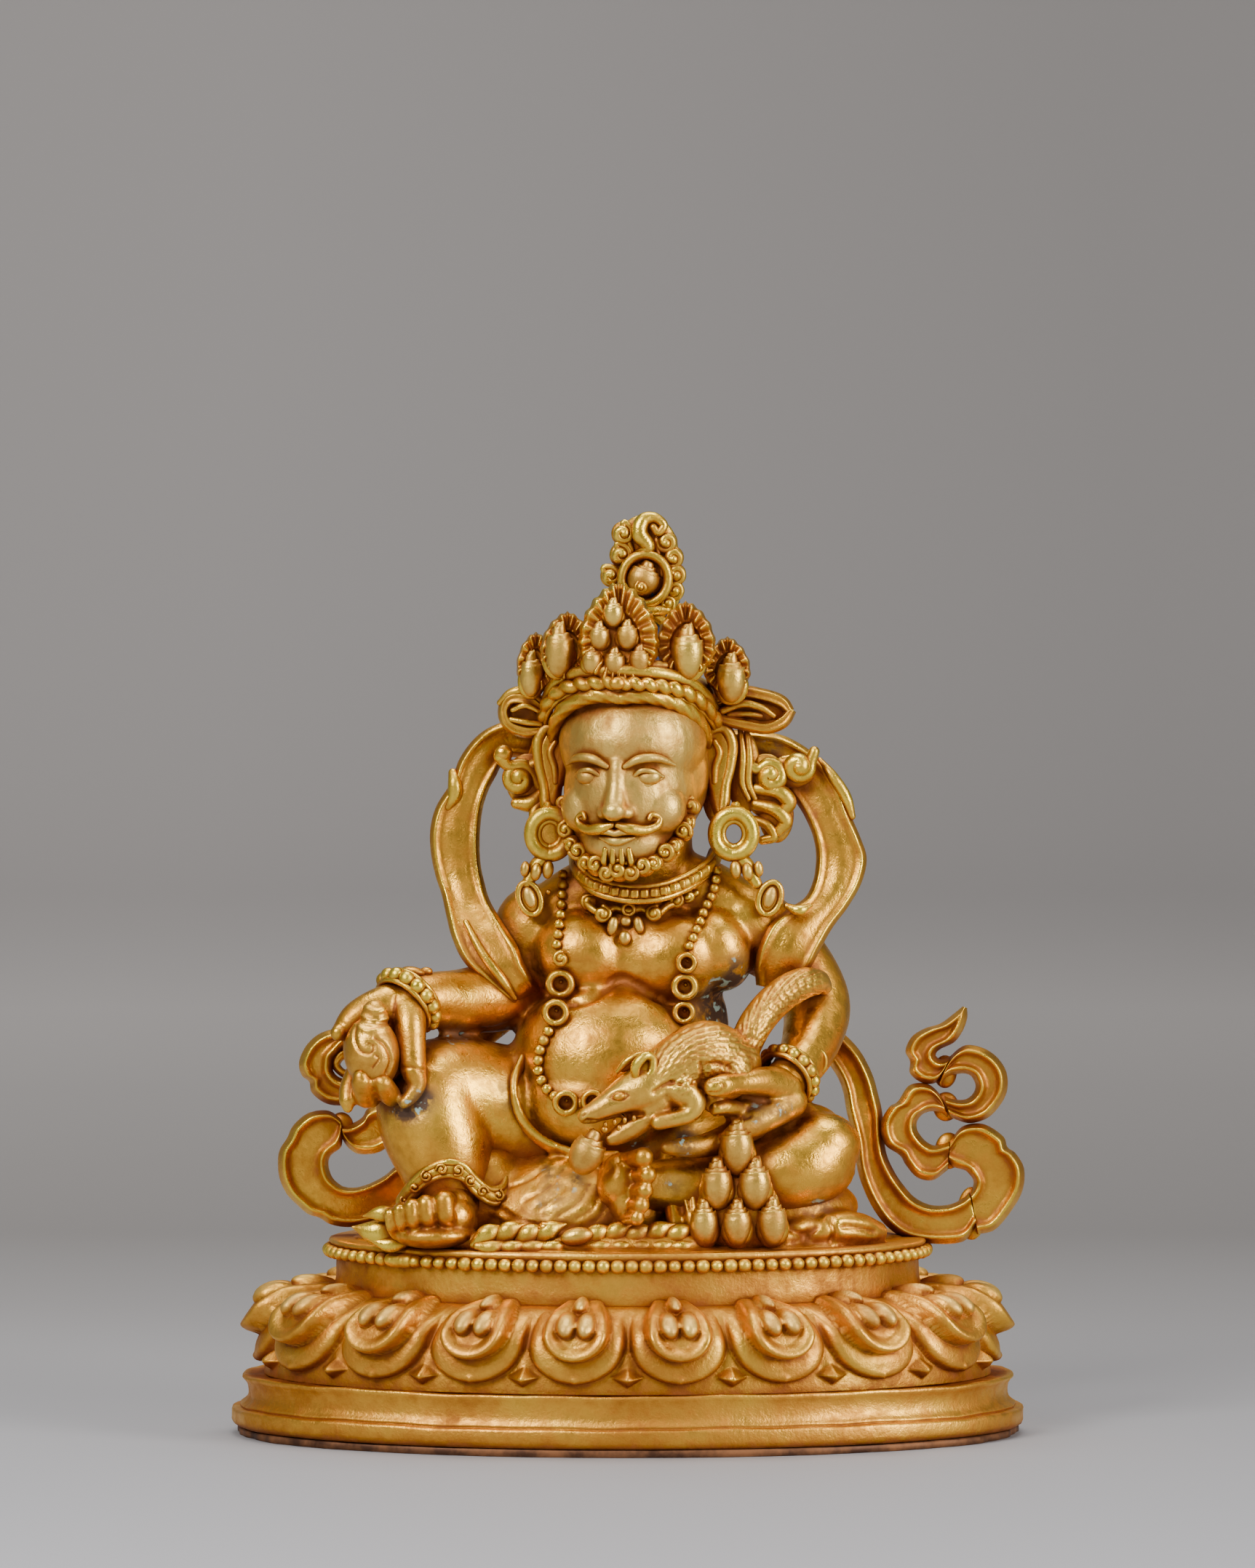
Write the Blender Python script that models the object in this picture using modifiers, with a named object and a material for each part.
"""A small gilt statue: a stout deity seated at ease on an oval lotus base, a jewel-spitting mongoose in its
left hand and a citron in its right. The figure is one casting, the base another, and a thin plate closes
the base from below. Metres, +Z up, +X to the viewer's right, the figure faces -Y. The origin is on the
underside, at the middle of the base."""

import math

import bmesh
import bpy
from mathutils import Matrix, Vector

MM = 0.001

# The closing plate
PLATE_THICKNESS = 0.6 * MM
PLATE_INSET = 0.5 * MM

# The base is a turned profile drawn across its long side and pressed to an oval
BASE_LENGTH = 86.0 * MM
BASE_DEPTH = 50.4 * MM
FOOT_HEIGHT = 2.2 * MM
FOOT_STEP = 1.2 * MM
BAND_HEIGHT = 3.4 * MM
PETAL_SLOPE_HEIGHT = 9.2 * MM
DRUM_LENGTH = 63.2 * MM
DRUM_DEPTH = 41.4 * MM
DRUM_HEIGHT = 4.2 * MM
SEAT_LIP = 0.7 * MM
FIT_GAP = 0.3 * MM
BASE_SEGMENTS = 48

# Lotus petals, and the roll round the seat that carries a string of beads
PETAL_COUNT = 18
PETAL_WIDTH = 10.8 * MM
PETAL_LENGTH = 7.6 * MM
PETAL_SET_BACK = 2.4 * MM
PETAL_PLACE = 0.8
LOBE_PLACE = 0.55
PETAL_TIP_PLACE = 0.9
PETAL_TIP_WIDTH = 3.0 * MM
PETAL_RISE = 1.8 * MM
LOBE_WIDTH = 7.2 * MM
LOBE_LENGTH = 6.8 * MM
LOBE_RISE = 2.3 * MM
TWIN_BEAD_WIDTH = 2.0 * MM
SEAT_ROLL_WIDTH = 1.4 * MM
BASE_FACES_KEPT = 0.52

# The figure's forms are shares of its own height: one unit is a hundredth of the whole statue's height,
# which for this statue is one millimetre. They were laid out as seen by an eye in front of the statue, so
# a point's place across and up is what that eye sees against the plane through the middle of the base.
STATUE_HEIGHT = 100.0 * MM
UNIT = STATUE_HEIGHT / 100
EYE_DISTANCE = 1000.0
EYE_UP = 112.0
LAID_OUT_SEAT = 21.3
FIGURE_VOXEL = 0.56 * UNIT
FIGURE_FACES_KEPT = 0.044

PLATE_TOP = PLATE_THICKNESS + FIT_GAP
FOOT_TOP = PLATE_TOP + FOOT_HEIGHT
BAND_TOP = FOOT_TOP + BAND_HEIGHT
DRUM_BOTTOM = BAND_TOP + PETAL_SLOPE_HEIGHT
SEAT_TOP = DRUM_BOTTOM + DRUM_HEIGHT + SEAT_ROLL_WIDTH
BAND_RADIUS = BASE_LENGTH / 2 - FOOT_STEP
DRUM_RADIUS = DRUM_LENGTH / 2
SEAT_RADIUS = DRUM_RADIUS + SEAT_LIP


def clear_scene():
    for obj in list(bpy.data.objects):
        bpy.data.objects.remove(obj)


def collection(name):
    made = bpy.data.collections.new(name)
    bpy.context.scene.collection.children.link(made)
    return made


def gilt(name, colour, roughness, metallic=1.0):
    """A metal finish of that base colour."""
    material = bpy.data.materials.new(name)
    material.use_nodes = True
    shader = material.node_tree.nodes["Principled BSDF"]
    shader.inputs["Base Color"].default_value = (*colour, 1)
    shader.inputs["Roughness"].default_value = roughness
    shader.inputs["Metallic"].default_value = metallic
    return material


def add_object(name, mesh, where):
    obj = bpy.data.objects.new(name, mesh)
    where.objects.link(obj)
    return obj


def hide_helper(obj):
    obj.hide_render = True
    obj.display_type = "WIRE"


# The oval base


def slope_point(share):
    """Radius and height on the slope that carries the petals: 0 at the drum, 1 at the band, a quarter wave."""
    turn = share * math.pi / 2
    outermost = BAND_RADIUS - PETAL_SET_BACK
    radius = DRUM_RADIUS + (outermost - DRUM_RADIUS) * math.sin(turn) ** 0.9
    return radius, DRUM_BOTTOM - PETAL_SLOPE_HEIGHT * (1 - math.cos(turn)) ** 0.8


def seat_roll():
    """Half a circle bulging out at the seat's edge, from its top down."""
    half = SEAT_ROLL_WIDTH / 2
    turns = [math.radians(angle) for angle in (90, 40, 0, -40, -90)]
    return [(SEAT_RADIUS + half * math.cos(turn), SEAT_TOP - half + half * math.sin(turn)) for turn in turns]


def base_profile():
    """Radius and height from the seat's middle down the outside to the underside's middle."""
    slope = [slope_point(share / 5) for share in range(1, 6)]
    return [
        (0, SEAT_TOP),
        *seat_roll(),
        (DRUM_RADIUS, SEAT_TOP - SEAT_ROLL_WIDTH),
        (DRUM_RADIUS, DRUM_BOTTOM),
        *slope,
        (BAND_RADIUS, BAND_TOP),
        (BAND_RADIUS, FOOT_TOP + FOOT_STEP / 2),
        (BASE_LENGTH / 2 - FOOT_STEP / 3, FOOT_TOP),
        (BASE_LENGTH / 2, FOOT_TOP - FOOT_STEP / 3),
        (BASE_LENGTH / 2, PLATE_TOP),
        (0, PLATE_TOP),
    ]


def turned(name, profile, where, segments=BASE_SEGMENTS):
    """A profile turned about the upright axis and pressed to the base's oval."""
    mesh = bpy.data.meshes.new(name)
    points = [(radius, 0, height) for radius, height in profile]
    mesh.from_pydata(points, [(i, i + 1) for i in range(len(points) - 1)], [])
    obj = add_object(name, mesh, where)
    screw = obj.modifiers.new("Turn", "SCREW")
    screw.steps = segments
    screw.render_steps = segments
    screw.use_merge_vertices = True
    screw.merge_threshold = 0.00001
    solid = flattened(obj)
    for vertex in solid.vertices:
        vertex.co.y *= oval_at(math.hypot(vertex.co.x, vertex.co.y))
    bpy.data.objects.remove(obj)
    return add_object(name, solid, where)


def flattened(obj):
    """The object's mesh with its modifiers applied, in world space."""
    bpy.context.view_layer.update()
    graph = bpy.context.evaluated_depsgraph_get()
    mesh = bpy.data.meshes.new_from_object(obj.evaluated_get(graph))
    mesh.transform(obj.matrix_world)
    return mesh


def oval_at(radius):
    """Depth over length at a radius: rounder at the drum than at the foot."""
    share = (radius - DRUM_RADIUS) / (BASE_LENGTH / 2 - DRUM_RADIUS)
    share = min(max(share, 0), 1)
    return (DRUM_DEPTH / DRUM_LENGTH) * (1 - share) + (BASE_DEPTH / BASE_LENGTH) * share


def oval_point(radius, turn):
    return Vector((radius * math.cos(turn), radius * oval_at(radius) * math.sin(turn), 0))


def even_turns(radius, count, start):
    """Turns that lie evenly along the oval, the first of them start steps away from the front's middle."""
    fine = 1440
    turns = [-math.pi / 2 + 2 * math.pi * i / fine for i in range(fine + 1)]
    points = [oval_point(radius, turn) for turn in turns]
    lengths = [0.0]
    for before, after in zip(points, points[1:]):
        lengths.append(lengths[-1] + (after - before).length)
    wanted = [min(i + start, count) * lengths[-1] / count for i in range(count)]
    found = []
    k = 0
    for length in wanted:
        while lengths[k + 1] < length:
            k += 1
        found.append(turns[k])
    return found


def slope_frame(turn, share):
    """Where a petal's part sits: X along the oval, Y out of the slope, Z up the slope."""
    radius, height = slope_point(share)
    below_radius, below_height = slope_point(min(share + 0.08, 1))
    above_radius, above_height = slope_point(share - 0.08)
    along = Vector((-math.sin(turn), oval_at(radius) * math.cos(turn), 0)).normalized()
    up = oval_point(above_radius, turn) - oval_point(below_radius, turn)
    up.z = above_height - below_height
    up.normalize()
    out = along.cross(up).normalized()
    if out.z < 0:
        out.negate()
    side = out.cross(up)
    place = oval_point(radius, turn)
    place.z = height
    frame = Matrix((side, out, up)).transposed().to_4x4()
    frame.translation = place
    return frame


def lump(mesh, frame, centre, radii, across, rings):
    """A ball of those radii, added to the mesh at a place in the frame."""
    stretch = Matrix.Diagonal((*radii, 1))
    place = frame @ Matrix.Translation(Vector(centre)) @ stretch
    bmesh.ops.create_uvsphere(mesh, u_segments=across, v_segments=rings, radius=1, matrix=place)


def helper_from(bm, name, where):
    mesh = bpy.data.meshes.new(name)
    bm.to_mesh(mesh)
    bm.free()
    obj = add_object(name, mesh, where)
    hide_helper(obj)
    return obj


def petal_helpers(where):
    """Outer petals, the cupped lobes on them and each lobe's twin beads, as lumps that join the base."""
    outer, lobes, twins, tips = (bmesh.new() for _ in range(4))
    for turn in even_turns(BAND_RADIUS, PETAL_COUNT, start=0.5):
        low = slope_frame(turn, PETAL_PLACE)
        high = slope_frame(turn, LOBE_PLACE)
        lump(outer, low, (0, 0, 0), (PETAL_WIDTH / 2, PETAL_RISE, PETAL_LENGTH / 2), 10, 6)
        lump(lobes, high, (0, 0, 0), (LOBE_WIDTH / 2, LOBE_RISE, LOBE_LENGTH / 2), 8, 6)
        for side in (-1, 1):
            centre = (side * TWIN_BEAD_WIDTH * 0.6, LOBE_RISE - 0.3 * MM, LOBE_LENGTH * 0.1)
            lump(twins, high, centre, (TWIN_BEAD_WIDTH / 2, 0.8 * MM, TWIN_BEAD_WIDTH * 0.7), 4, 3)
    for turn in even_turns(BAND_RADIUS, PETAL_COUNT, start=1.0):
        half = PETAL_TIP_WIDTH / 2
        lump(tips, slope_frame(turn, PETAL_TIP_PLACE), (0, half / 3, 0), (half, half * 0.7, half), 4, 3)
    names = ("outer_petals", "cupped_lobes", "twin_beads", "petal_tips")
    return [helper_from(bm, name, where) for bm, name in zip((outer, lobes, twins, tips), names)]


def make_base(parts, cutters, material):
    base = turned("lotus_base", base_profile(), parts)
    for helper in petal_helpers(cutters):
        join = base.modifiers.new(f"Join {helper.name}", "BOOLEAN")
        join.operation = "UNION"
        join.object = helper
        join.use_self = True
    spare = base.modifiers.new("Keep few faces", "DECIMATE")
    spare.ratio = BASE_FACES_KEPT
    base.data.materials.append(material)


def make_plate(parts, material):
    radius = BASE_LENGTH / 2 - PLATE_INSET
    profile = [(0, PLATE_THICKNESS), (radius, PLATE_THICKNESS), (radius, 0), (0, 0)]
    plate = turned("base_plate", profile, parts)
    plate.data.materials.append(material)


# The figure


def seen(across, up, depth):
    """The place of a point that the eye sees at (across, up) and that lies depth behind the middle plane."""
    share = 1 + depth / EYE_DISTANCE
    height = EYE_UP + (up - EYE_UP) * share - LAID_OUT_SEAT
    return Vector((across * share * UNIT, depth * UNIT, height * UNIT + SEAT_TOP))


def put(mesh, piece):
    """Adds a finished piece to the figure's forms."""
    made = bpy.data.meshes.new("piece")
    piece.to_mesh(made)
    piece.free()
    mesh.from_mesh(made)
    bpy.data.meshes.remove(made)


def tube(mesh, points, rounds=2, steps=4):
    """A limb: a smooth curve through (across, up, depth, radius) with round ends."""
    curve = bpy.data.curves.new("limb", "CURVE")
    curve.dimensions = "3D"
    curve.bevel_depth = UNIT
    curve.bevel_resolution = rounds
    curve.resolution_u = steps
    curve.use_fill_caps = True
    spline = curve.splines.new("BEZIER")
    spline.bezier_points.add(len(points) - 1)
    for knot, (across, up, depth, radius) in zip(spline.bezier_points, points):
        knot.co = seen(across, up, depth)
        knot.radius = radius
        knot.handle_left_type = knot.handle_right_type = "AUTO"
    obj = add_object("limb", curve, bpy.context.scene.collection)
    piece = bmesh.new()
    piece.from_mesh(flattened(obj))
    bmesh.ops.remove_doubles(piece, verts=piece.verts, dist=0.000001)
    put(mesh, piece)
    bpy.data.objects.remove(obj)
    for across, up, depth, radius in (points[0], points[-1]):
        ball(mesh, (across, up, depth), (radius,) * 3)


def ball(mesh, centre, radii, lean=0, turn=0, nod=0, across=16, rings=10):
    """An egg of (across, deep, up) radii, leaning in the front view, turned about the upright, nodding."""
    angles = [
        Matrix.Rotation(math.radians(turn), 4, "Z"),
        Matrix.Rotation(math.radians(nod), 4, "X"),
        Matrix.Rotation(math.radians(lean), 4, "Y"),
    ]
    stretch = Matrix.Diagonal((*(r * UNIT for r in radii), 1))
    place = Matrix.Translation(seen(*centre)) @ angles[0] @ angles[1] @ angles[2] @ stretch
    piece = bmesh.new()
    bmesh.ops.create_uvsphere(piece, u_segments=across, v_segments=rings, radius=1, matrix=place)
    put(mesh, piece)


def smooth_path(points, steps=6):
    """Points on a Catmull-Rom curve through the given ones."""
    padded = [points[0], *points, points[-1]]
    path = []
    for before, here, there, after in zip(padded, padded[1:], padded[2:], padded[3:]):
        for k in range(steps):
            t = k / steps
            path.append([
                0.5 * (2 * b + (c - a) * t + (2 * a - 5 * b + 4 * c - d) * t**2
                       + (3 * b - a - 3 * c + d) * t**3)
                for a, b, c, d in zip(before, here, there, after)
            ])
    return [*path, list(points[-1])]


def ribbon(mesh, points, thickness=1.5, steps=6):
    """A flat band that faces the front: a strip along (across, up, depth, width), thickened both ways."""
    path = smooth_path(points, steps)
    strip = bmesh.new()
    rows = []
    for i, (across, up, depth, width) in enumerate(path):
        before = path[max(i - 1, 0)]
        after = path[min(i + 1, len(path) - 1)]
        run = Vector((after[0] - before[0], after[1] - before[1])).normalized()
        edges = []
        for side in (-0.5, 0.0, 0.5):
            place = (across - run.y * width * side, up + run.x * width * side, depth)
            edges.append(strip.verts.new(seen(*place)))
        rows.append(edges)
    for low, high in zip(rows, rows[1:]):
        for k in range(2):
            strip.faces.new((low[k], low[k + 1], high[k + 1], high[k]))
    obj = helper_from(strip, "ribbon", bpy.context.scene.collection)
    solid = obj.modifiers.new("Thicken", "SOLIDIFY")
    solid.thickness = thickness * UNIT
    solid.offset = 0
    mesh.from_mesh(flattened(obj))
    bpy.data.objects.remove(obj)


def torso(mesh):
    ball(mesh, (-0.5, 30, 0), (14, 10, 8.5))
    ball(mesh, (-2.2, 39.6, -4), (10.4, 8.8, 9.4))
    ball(mesh, (0.8, 44, 1), (10.2, 7.6, 10))
    ball(mesh, (0.6, 51.5, 0), (11, 7.5, 8))
    ball(mesh, (-4.6, 51.6, -5.2), (5.3, 3.9, 4.6), lean=8)
    ball(mesh, (5.2, 51.2, -5.2), (5.6, 3.9, 4.8), lean=-8)
    tube(mesh, [(2, 54, 0.5, 6.2), (2.3, 59, 0, 4.9), (2.2, 66, -1, 4.8)])
    tube(mesh, [(-9, 55.5, 0, 3.6), (-4, 58.6, 0, 3.8), (2, 59.6, 0, 4.4), (8, 58.6, 0, 3.8), (12.5, 56, 0, 3.6)])
    ribbon(mesh, [(-13.4, 40.5, 0, 1.4), (-12.9, 36.5, -5, 1.4), (-10, 33, -9.5, 1.4),
                  (-5.5, 30.9, -12.5, 1.4), (0, 30.2, -12.5, 1.4), (7, 31, -9, 1.4)], 2.0)


def far_side_arm(mesh):
    """The right arm, on the viewer's left, laid over the raised knee, with the citron in its hand."""
    tube(mesh, [(-9.8, 55, 0.5, 4.6), (-11.6, 51.3, 0.5, 4.3), (-13.4, 47.9, -1.2, 4.1),
                (-17.2, 47, -4.6, 3.4), (-21.2, 47, -8.2, 2.9), (-24, 46.6, -10, 2.7)])
    tube(mesh, [(-23.4, 46.6, -10, 2.4), (-26.6, 46.3, -11.4, 2.1), (-29.6, 45, -12.4, 1.6),
                (-31.2, 43.6, -13.2, 1.0)])
    tube(mesh, [(-23.8, 46, -11, 1.9), (-23.6, 43, -12.6, 1.6), (-23.5, 40, -13.4, 1.4),
                (-22.9, 37.6, -14.4, 0.9), (-24.2, 35.9, -15, 0.7)])
    ball(mesh, (-26.8, 41.6, -11.4), (4, 2, 5.2))
    ball(mesh, (-27.7, 41.4, -14.4), (2.8, 2.6, 3.9), lean=-6)
    tube(mesh, [(-27.5, 44, -14.4, 2), (-27.2, 46, -14.4, 1.0)])
    tube(mesh, [(-28.2, 36.8, -13, 1.1), (-28.9, 38.2, -16, 1.0)])
    tube(mesh, [(-25.6, 36.8, -13, 1.1), (-26.6, 38, -16, 0.95)])
    tube(mesh, [(-29.6, 38.6, -12.4, 1.1), (-30.2, 35.9, -14, 0.85)])
    ring_of_beads(mesh, (-22.9, 46.9, -9.4), 3.3, 1.0, turn=-52, lean=-24, count=12)


def ring_of_beads(mesh, centre, radius, bead, turn, lean, count):
    """A bracelet: beads on a circle whose axis starts along X, leans in the front view, then turns."""
    place = Matrix.Rotation(math.radians(turn), 3, "Z") @ Matrix.Rotation(math.radians(lean), 3, "Y")
    middle = seen(*centre)
    for i in range(count):
        angle = 2 * math.pi * i / count
        arm = place @ Vector((0, math.cos(angle), math.sin(angle))) * radius * UNIT
        piece = bmesh.new()
        where = Matrix.Translation(middle + arm)
        bmesh.ops.create_uvsphere(piece, u_segments=8, v_segments=6, radius=bead * UNIT, matrix=where)
        put(mesh, piece)


def near_side_arm(mesh):
    """The left arm, on the viewer's right, bent round to hold the mongoose."""
    tube(mesh, [(12.5, 55.4, 0.5, 4.8), (17.2, 52, 0.5, 4.1), (20.3, 46.8, -0.6, 3.8),
                (19.9, 42.6, -4.4, 3.2), (18.2, 39.3, -9, 2.5), (16.4, 37.6, -12, 2.2)])
    tube(mesh, [(17, 37.6, -11.6, 2), (14, 38, -15, 1.5), (11.4, 37.8, -17.6, 1.05), (9.4, 37.5, -19, 1.0)])
    tube(mesh, [(17, 36.4, -11.4, 2), (13, 35.2, -14, 1.5), (9.6, 35.4, -17.4, 1.1)])
    tube(mesh, [(16.6, 35.8, -11, 1.7), (12.6, 33.2, -13.4, 1.5), (8.4, 31.4, -15.6, 1.3),
                (4.4, 31, -17.2, 0.8)])
    ball(mesh, (12.5, 35.6, -13.4), (4, 3, 2.8))
    ring_of_beads(mesh, (18.2, 38.9, -9.6), 2.9, 0.85, turn=-55, lean=38, count=11)
    ball(mesh, (20.8, 40.3, -7.6), (1.0, 0.8, 1.4))


def legs(mesh):
    tube(mesh, [(-6, 31, 0, 8.2), (-14.5, 35.5, -4, 6.8), (-20.6, 37.4, -8, 5.4), (-21.9, 34.8, -9.6, 5.0),
                (-20.8, 30.4, -10.4, 4.7), (-19.6, 26.5, -10.8, 3.8), (-18.6, 23.8, -10.4, 3.2)])
    ribbon(mesh, [(-23.6, 26.4, -12.5, 1.6), (-21.6, 28, -14.4, 1.8), (-18.4, 28.4, -14.8, 1.9),
                  (-16.2, 26.6, -14, 2.2), (-14, 26, -12.4, 2.2), (-13.6, 28.4, -10.4, 1.6)], 1.8)
    tube(mesh, [(-18.6, 24.6, -10.5, 3.4), (-19.8, 23.6, -14.5, 2.6), (-21, 23.4, -17, 1.9)])
    toes = [(-19.9, 25.2, -17.6, 1.15), (-21.9, 25, -18, 1.0), (-23.4, 24.7, -17.8, 0.9),
            (-24.7, 24.4, -17.2, 0.85), (-25.8, 23.9, -16.4, 0.7)]
    for across, up, depth, radius in toes:
        tube(mesh, [(across + 0.8, up - 1.6, depth + 2.6, radius), (across, up, depth, radius)])
    ball(mesh, (-21, 21.8, -13.4), (4.4, 5, 1.6))
    tube(mesh, [(-23, 22.6, -13, 1.5), (-26.6, 23, -14, 1.1), (-29.3, 22.8, -13, 0.4)])
    tube(mesh, [(5, 30, 0, 7.6), (14, 30.6, -5, 6.2), (20.2, 30.3, -8, 5.0), (18.2, 28.6, -10.8, 4.4),
                (11, 27, -11.5, 3.6), (4, 26.8, -12.8, 2.9), (0, 27.2, -14, 2.4)])
    tube(mesh, [(19.6, 33.6, -6, 2.4), (19.7, 35.9, -6, 0.8)])
    ball(mesh, (-0.4, 26.8, -14.6), (2.4, 2, 3.6), lean=10)
    soles = [(1.6, 30.4, 1.1), (1.9, 28.1, 1.0), (1.6, 26.4, 0.95), (1.3, 24.8, 0.9), (0.8, 23.4, 0.8)]
    for across, up, radius in soles:
        tube(mesh, [(across - 1.6, up - 0.4, -15, radius), (across, up, -17, radius)])


def lap_cloth(mesh):
    """The skirt spread over the lap, its pleats, and its hem and flowers on the seat."""
    ball(mesh, (-5, 25.5, -6), (12.5, 10.5, 5), nod=12)
    ball(mesh, (14.5, 24.6, -5.6), (10.5, 7.6, 4.2))
    ball(mesh, (-16, 26, -5), (7, 8, 7))
    for across in (-11, -8, -5.2, -2.8):
        tube(mesh, [(across + 3.6, 28.2, -13, 0.6), (across + 1.8, 25.8, -15, 0.9), (across, 23.4, -16.4, 0.9)])
    ball(mesh, (0, 22, -1), (30, 15.5, 1.5), across=24)
    tube(mesh, [(-15.5, 22, -15.6, 1.3), (-9, 21.8, -17, 1.2), (0, 21.3, -17.6, 1.2), (6.5, 21.6, -17.2, 1.1)])
    ball(mesh, (-5.4, 21.7, -18.2), (1.5, 0.9, 0.9))
    tube(mesh, [(17, 22, -13, 1.2), (19, 23, -12, 1.1), (20.6, 23.6, -11, 0.7)])
    tube(mesh, [(20.4, 22.3, -11, 1.4), (23.6, 22.5, -9.4, 1.5), (27.2, 22.4, -6.8, 1.0)])
    tube(mesh, [(6.2, 30, -11, 1.6), (6.6, 26, -14, 1.5), (7.2, 23, -15.6, 1.0)])


def mongoose(mesh):
    tube(mesh, [(11.2, 40.4, -13.4, 3.1), (8.4, 41, -15.2, 3.7), (5.4, 39.6, -16.4, 3.3), (3, 38.2, -17.4, 2.6),
                (0.4, 36.8, -18.4, 2.2), (-2.6, 34.9, -19.4, 1.3), (-4.4, 34.1, -20, 0.8)])
    tube(mesh, [(1.2, 35.4, -18.2, 1.6), (-0.8, 33.2, -18.8, 0.75), (-2, 32.2, -19, 0.5)])
    ball(mesh, (1.8, 39.7, -19.6), (0.8, 0.7, 1.5), lean=38)
    ball(mesh, (-0.2, 40.2, -18.2), (0.6, 0.6, 1.7), lean=62)
    tube(mesh, [(5.4, 37, -18.6, 1.7), (7.2, 35.4, -18.8, 1.1), (4.4, 33.9, -19.6, 0.8), (3.2, 33.6, -19.8, 0.8)])
    ball(mesh, (11, 40, -15.4), (2.7, 2, 2.9))
    ball(mesh, (-4.3, 30.7, -19.6), (1.35, 1.3, 2.2), lean=24)
    tube(mesh, [(-3.6, 32.4, -19.6, 0.8), (-3.4, 34, -19.4, 0.7)])
    tube(mesh, [(12.4, 41, -13, 1.7), (14, 44.6, -12, 1.9), (16.4, 47.4, -9.6, 1.9), (19, 48.8, -7, 1.8),
                (20.7, 48.6, -5, 1.5)])


def jewel_heap(mesh):
    for up, radius, stands in ((22.7, 1.5, (8.3, 12.0, 15.8)), (27.3, 1.6, (9.7, 13.9)), (31.5, 1.75, (11.7,))):
        for across in stands:
            depth = -17 + (up - 22.7) * 0.12
            ball(mesh, (across, up - 0.3, depth), (radius, radius, 2.3))
            tube(mesh, [(across, up + 0.9, depth, radius * 0.75), (across, up + 2.4, depth, 0.4)])
    ball(mesh, (12, 23.5, -15.6), (4.6, 1.6, 4.2))


def head(mesh):
    ball(mesh, (1.2, 70.6, -2.6), (7.8, 9, 9.2), turn=-16, nod=6)
    ball(mesh, (0.6, 66.6, -5.8), (5.6, 5.4, 4.6), turn=-16)
    tube(mesh, [(-0.6, 71.4, -11, 0.7), (-0.9, 68.8, -12.2, 1.2)])
    for across, depth in ((-3.9, -9.6), (3.1, -10.3)):
        ball(mesh, (across, 71.6, depth), (1.4, 0.9, 1.1))
    ribbon(mesh, [(-6.2, 66.8, -8, 1.2), (-3.4, 66.6, -10.6, 1.2), (-0.6, 67.2, -11.6, 1.2),
                  (2.2, 66.8, -11, 1.2), (5.2, 67.2, -8.6, 1.2)], 0.9)
    for across, depth in ((-8.6, -1.5), (10.4, -0.5)):
        tube(mesh, [(across, 75.5, depth, 1.5), (across + 0.2, 72, depth, 1.4), (across + 0.3, 68, depth, 1.2)])


def crown(mesh):
    """A band with five pointed leaves, a jewel on each and six on the front one, bows at the sides."""
    for radius, up in ((8.6, 79.4), (8.9, 81.6)):
        bead_ring(mesh, radius, up)
    ball(mesh, (1.6, 78, 0.6), (8.6, 9.2, 9.4), turn=-12)
    tube(mesh, [(1.6, 70, 4, 5.6), (1.8, 65, 5, 5.6), (1.8, 60, 5.4, 4.6)])
    leaves = [(-10.2, 83.6, -1.8, 1.5, 3.6, -8), (-6.6, 85, -6.4, 2.4, 4.2, -4), (-1.4, 86.6, -8.4, 3.5, 5.2, 0),
              (6.2, 85.4, -6.6, 2.8, 4.6, 4), (11, 83.2, -1.8, 1.8, 3.6, 8)]
    for across, up, depth, half, rise, lean in leaves:
        ball(mesh, (across, up, depth), (half, 1.0, rise * 0.8), lean=lean)
        tube(mesh, [(across, up + rise * 0.3, depth, half * 0.62), (across + lean * 0.04, up + rise, depth, 0.6)])
    jewels = [(-10.6, 82.4, -3.2, 1.2, 2.1), (-7.7, 85, -7.8, 1.4, 2.6), (6.6, 84.7, -8, 1.6, 2.6),
              (11.4, 82, -3.2, 1.4, 2.3), (-1.5, 88.7, -9.6, 1.1, 1.5), (-2.9, 86.6, -9.8, 1.0, 1.4),
              (-0.1, 86.6, -9.8, 1.1, 1.5), (-3.8, 84, -10, 1.0, 1.4), (-1.4, 83.9, -10.2, 1.1, 1.5),
              (1.4, 84.1, -10, 1.1, 1.6)]
    for across, up, depth, half, rise in jewels:
        ball(mesh, (across, up, depth), (half, half, rise), across=10, rings=7)


def bead_ring(mesh, radius, up):
    points = []
    for i in range(25):
        angle = 2 * math.pi * i / 24
        drop = (1 - math.cos(angle)) * 1.4
        points.append((0.9 + radius * math.sin(angle), up - drop, -0.6 - radius * math.cos(angle), 0.9))
    tube(mesh, points, rounds=1, steps=2)


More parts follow.
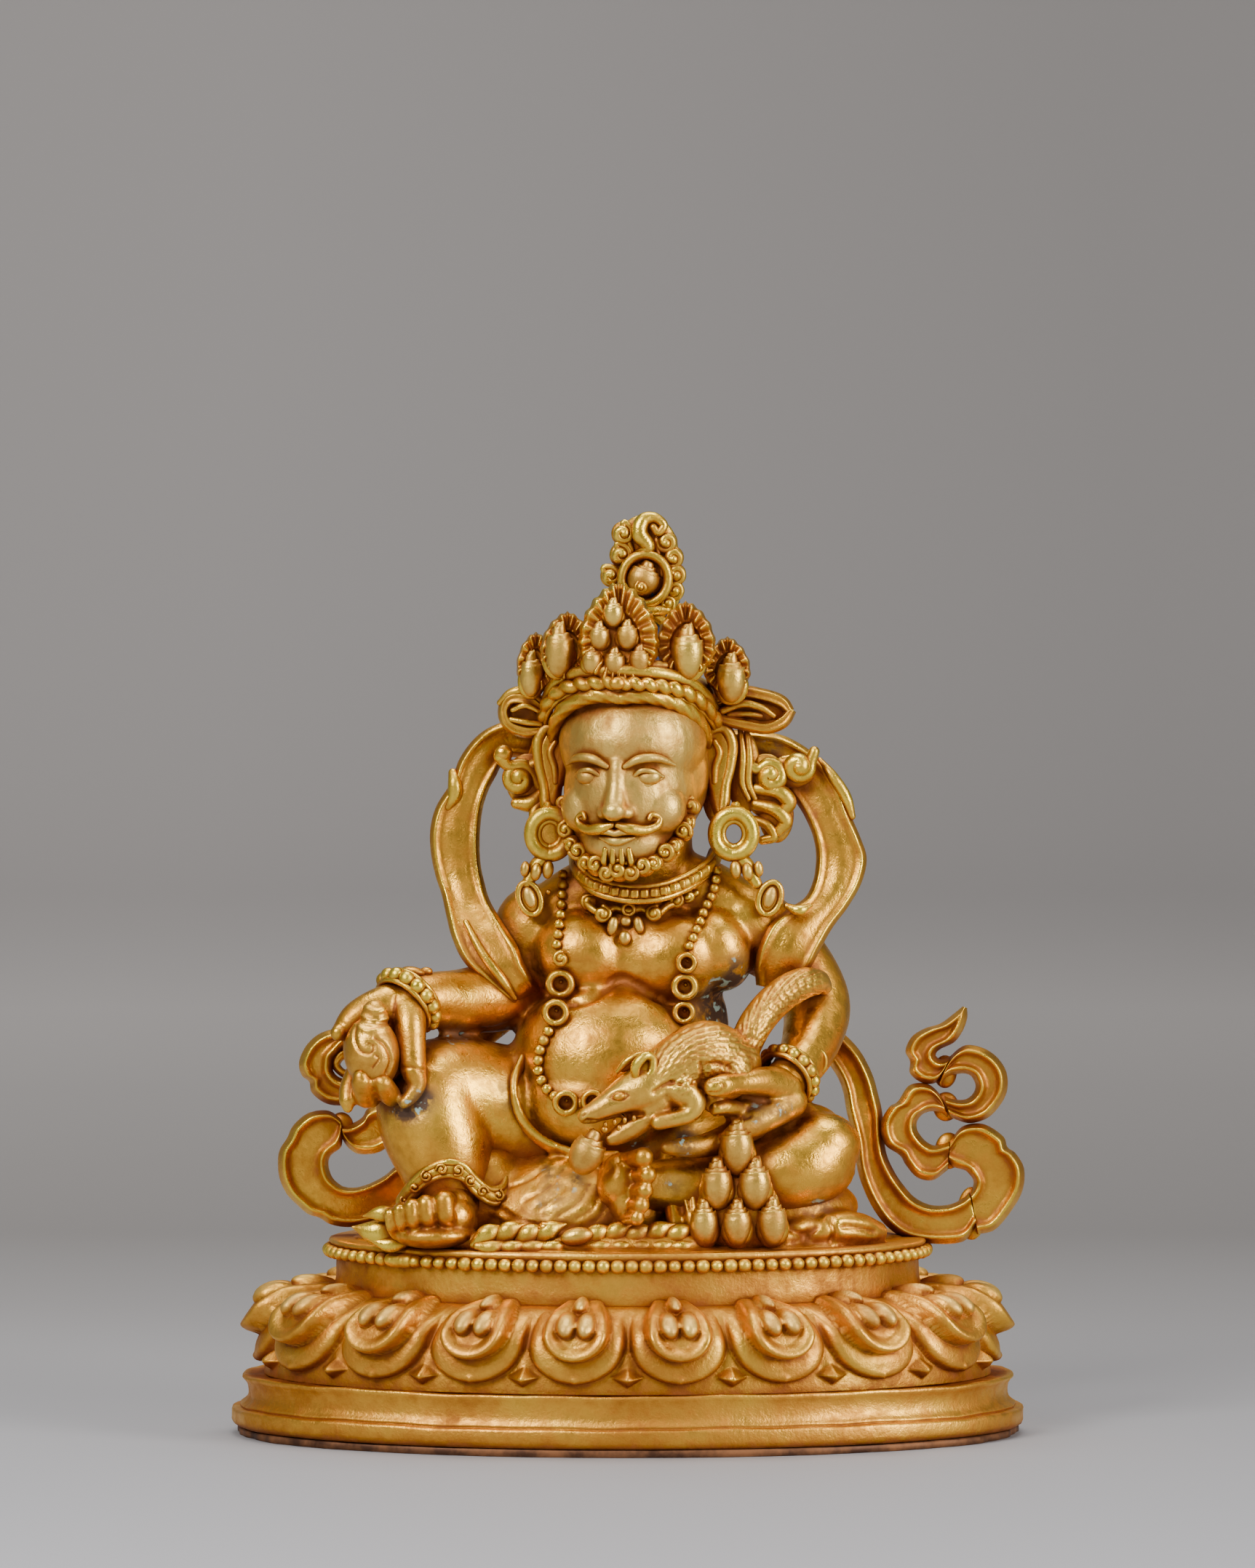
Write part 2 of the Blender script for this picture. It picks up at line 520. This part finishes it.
def topknot(mesh):
    """The tall knot of hair behind the crown, faced with a scrolled plaque that holds a round jewel."""
    tube(mesh, [(2.4, 84, 0, 3.4), (2.6, 89, 0.6, 2.6), (2.4, 93, 1, 2.9), (2.2, 97, 1, 2.2), (2.1, 99, 0.8, 0.9)])
    ball(mesh, (2.3, 92.8, -1.2), (3.2, 1.1, 3.2))
    ball(mesh, (2.0, 92.6, -2.4), (1.8, 1.4, 1.8))
    curls = [(-0.6, 97.6, 1.2), (3.4, 98.3, 1.3), (-0.9, 95.2, 1.1), (4.4, 96.4, 1.1), (5.4, 94.7, 1.1),
             (-1.7, 92.9, 1.1), (5.8, 92.4, 1.1), (5, 90.9, 1.0)]
    for across, up, radius in curls:
        ball(mesh, (across, up, -0.6), (radius, 1.1, radius), across=10, rings=7)


def side_bows(mesh):
    ribbon(mesh, [(-9.4, 77.4, -0.5, 1.6), (-11.6, 76.6, -1, 1.6), (-13.3, 78, -1, 1.5), (-12.4, 79.8, -1, 1.5),
                  (-9.8, 79, -0.5, 1.4)], 1.6)
    ribbon(mesh, [(10.4, 77.4, 0, 1.6), (13.6, 76.4, -0.5, 1.7), (16.6, 77.4, -0.5, 1.9), (17, 78.8, -0.5, 2.4)], 1.6)
    ribbon(mesh, [(10.6, 79.6, 0, 1.4), (13.6, 80.4, -0.5, 1.5), (16.4, 79.2, -0.5, 1.7)], 1.6)
    ball(mesh, (12.8, 78.4, 0), (2.6, 0.8, 1.4))
    ribbon(mesh, [(-10.2, 72.6, 1, 2.6), (-12, 71, 0.4, 2.8), (-13.2, 70.4, 0, 2.6), (-13.6, 72.8, -0.4, 1.5)], 1.8)
    tube(mesh, [(-13, 71.6, -0.4, 1.0), (-13.6, 73.4, -0.6, 0.9)])
    ribbon(mesh, [(12.4, 75, 1, 2), (13.4, 71.6, 0.6, 3), (15, 69, 0.4, 3.6), (15.6, 66.4, 0.4, 2.6),
                  (14.2, 64.9, 0.4, 1.4)], 1.8)
    ribbon(mesh, [(14.4, 70.8, 0, 2), (16.8, 70.6, -0.6, 2.2), (19, 71, -1, 2), (18.8, 73.4, -1, 1.7)], 1.8)


def earrings(mesh):
    for across, outer, low in ((-8.4, 2.1, -1), (11.5, 2.5, 1)):
        points = []
        for i in range(17):
            angle = 2 * math.pi * i / 16
            points.append((across + outer * math.sin(angle), 65 + 2.4 * math.cos(angle), -3.6, 0.75))
        tube(mesh, points, rounds=1, steps=1)
        drop = across + 0.75 * low
        tube(mesh, [(drop, 62.4, -3.6, 1.2), (drop + 1.6 * low, 58.6, -4.2, 1.5), (drop + 2.8 * low, 56.8, -4.2, 0.9)])


def necklaces(mesh):
    tube(mesh, [(-5.6, 61.4, -2, 0.9), (-4.4, 59.8, -5.4, 0.9), (-1, 58.7, -7.6, 0.9), (3, 58.7, -7.6, 0.9),
                (7, 59.8, -5.6, 0.9), (9.6, 61.6, -2, 0.9)], rounds=1)
    ribbon(mesh, [(-4.4, 57.4, -7, 1.5), (-1.8, 56.4, -8.2, 1.6), (0.4, 56.6, -8.6, 1.5), (3, 56.4, -8.2, 1.6),
                  (6.6, 58, -6.6, 1.4)], 1.6)
    ball(mesh, (-0.2, 54.6, -8.6), (1.7, 0.9, 1.6))
    strands = [[(-7, 60.5, -3, 0.75), (-7.2, 56.5, -6.6, 0.75), (-7.7, 52.6, -8.4, 0.75)],
               [(9.8, 60, -3, 0.75), (8.3, 56.4, -6.8, 0.75), (6.8, 52.6, -8.8, 0.75)],
               [(-8.7, 44.2, -9.8, 0.75), (-9.8, 41, -11, 0.75), (-9.2, 38, -12, 0.75), (-7.8, 36.5, -12.8, 0.75)]]
    for strand in strands:
        tube(mesh, strand, rounds=1)
    cups = [(-7.1, 51.3, -9, 1.0), (-7.3, 48.7, -9.4, 1.45), (-8.1, 45.7, -9.6, 1.3), (6.4, 51.1, -9.4, 1.05),
            (6.2, 48.5, -9.8, 1.45), (6.2, 45.6, -10.4, 1.25), (-6.8, 35.8, -13.2, 1.4), (-3.6, 35.8, -13.8, 1.3)]
    for across, up, depth, radius in cups:
        ball(mesh, (across, up, depth), (radius, 0.9, radius), across=10, rings=7)


def scarf(mesh):
    """The long scarf: a loop on either side of the head, over the arms, then down to a cloud scroll."""
    ribbon(mesh, [(-8.5, 75, 3, 4), (-12.5, 75.2, 2.2, 4), (-16.4, 73, 1.2, 4.4), (-18, 69.6, 0.6, 4.2),
                  (-18.8, 65, 0, 4.8), (-18.4, 60.4, -0.6, 5), (-16.8, 55.8, -2.4, 5.4), (-14.2, 52, -4.4, 5.4),
                  (-11.8, 48.6, -4.6, 4)], 1.7)
    ribbon(mesh, [(11, 74.4, 3, 4), (15, 75, 2.4, 3.4), (19.2, 73.6, 1.2, 3.6), (22, 70, 0.6, 4.2),
                  (22.9, 65.4, 0, 5), (22.4, 60.6, -0.6, 4.8), (19.6, 56.6, -2.6, 5.4), (17.4, 52.6, -4, 6),
                  (16, 49.6, -3.6, 4.4)], 1.7)
    tube(mesh, [(-11, 47, 4, 1.6), (-14.4, 44.6, 4, 1.8), (-17, 42, 4, 1.6), (-19, 40, 4, 1.2)])
    ribbon(mesh, [(20.6, 44.6, 4, 3), (23.6, 41.6, 3, 3), (25.5, 38.4, 2, 3.2), (26, 35, 1.4, 3.4),
                  (26, 31.6, 1, 3.4), (26.4, 28.4, 0.8, 3.2), (28, 25.4, 0.6, 3.4), (31, 23.3, 0.4, 3.6),
                  (34.6, 22.6, 0.2, 4), (38, 23.8, 0, 4.6), (40.2, 26.8, 0, 5), (39.9, 30, 0, 5),
                  (37.6, 31.8, 0, 4), (35.4, 30.9, 0, 3.2), (33, 29.8, 0, 3.4), (30.6, 30.6, 0, 3.8),
                  (29.6, 33, 0, 3.8), (30.8, 35.4, 0, 3.8), (33, 35.8, 0, 3), (35.2, 35, 0, 2.8),
                  (37.6, 35, 0, 3.4), (39.3, 37, 0, 3.6), (39, 39.6, 0, 3.6), (37, 41, 0, 3),
                  (34.8, 40.4, 0, 2.6), (32.8, 39.8, 0, 2.6), (31.7, 41.4, 0, 2.8), (33, 42.8, 0, 2.6),
                  (35.2, 43.6, 0, 2), (36.5, 45.9, 0, 0.7)], 1.9)
    ribbon(mesh, [(-19, 26.4, 4, 3), (-24, 26.6, 3, 3.4), (-28, 24.4, 2, 3.6), (-32, 24.6, 1, 4.2),
                  (-35.2, 27.4, 0.6, 4.6), (-35, 31.4, 0.6, 4.6), (-32.6, 33.6, 0.6, 3.8), (-30, 32.4, 1, 2.8),
                  (-27.6, 31.6, 1.4, 3), (-26, 33.4, 1.6, 3), (-27, 36, 1.4, 2.4), (-30, 37, 1, 2.6),
                  (-33.2, 38, 0.6, 3.2), (-33.6, 41, 0.6, 3.4), (-30.8, 42.4, 0.8, 2.8), (-28.8, 41.4, 1, 2)], 1.9)


def seat_cutter(where):
    """The seat with the fitting gap round it: what the figure keeps clear of."""
    reach = SEAT_RADIUS + SEAT_ROLL_WIDTH
    profile = [(0, SEAT_TOP + FIT_GAP), (reach, SEAT_TOP + FIT_GAP), (reach, 0), (0, 0)]
    cutter = turned("seat_clearance", profile, where)
    hide_helper(cutter)
    return cutter


def outer_skin(mesh):
    """The mesh without the bubbles that the melting leaves sealed inside it."""
    bm = bmesh.new()
    bm.from_mesh(mesh)
    bm.verts.ensure_lookup_table()
    skins = []
    unseen = set(bm.verts)
    while unseen:
        front = [unseen.pop()]
        skin = list(front)
        while front:
            near = {edge.other_vert(vert) for vert in front for edge in vert.link_edges} & unseen
            unseen -= near
            front = list(near)
            skin += front
        skins.append(skin)
    skins.sort(key=len)
    bmesh.ops.delete(bm, geom=[vert for skin in skins[:-1] for vert in skin], context="VERTS")
    bm.to_mesh(mesh)
    bm.free()
    return mesh


def make_figure(parts, cutters, material):
    """All the forms run together as in one casting: their overlaps are melted into one skin."""
    mesh = bmesh.new()
    for form in (torso, far_side_arm, near_side_arm, legs, lap_cloth, mongoose, jewel_heap, head, crown,
                 topknot, side_bows, earrings, necklaces, scarf):
        form(mesh)
    draft = helper_from(mesh, "figure_forms", cutters)
    melt = draft.modifiers.new("Melt together", "REMESH")
    melt.mode = "VOXEL"
    melt.voxel_size = FIGURE_VOXEL
    figure = add_object("figure", outer_skin(flattened(draft)), parts)
    bpy.data.objects.remove(draft)
    spare = figure.modifiers.new("Keep few faces", "DECIMATE")
    spare.ratio = FIGURE_FACES_KEPT
    cut = figure.modifiers.new("Clear the seat", "BOOLEAN")
    cut.operation = "DIFFERENCE"
    cut.object = seat_cutter(cutters)
    figure.data.materials.append(material)


def main():
    clear_scene()
    parts = collection("jambhala_statue")
    cutters = collection("cutters")
    gold = gilt("fire_gilding", (0.83, 0.52, 0.16), 0.32)
    copper = gilt("copper_plate", (0.30, 0.15, 0.08), 0.5)
    make_figure(parts, cutters, gold)
    make_plate(parts, copper)
    make_base(parts, cutters, gold)


main()
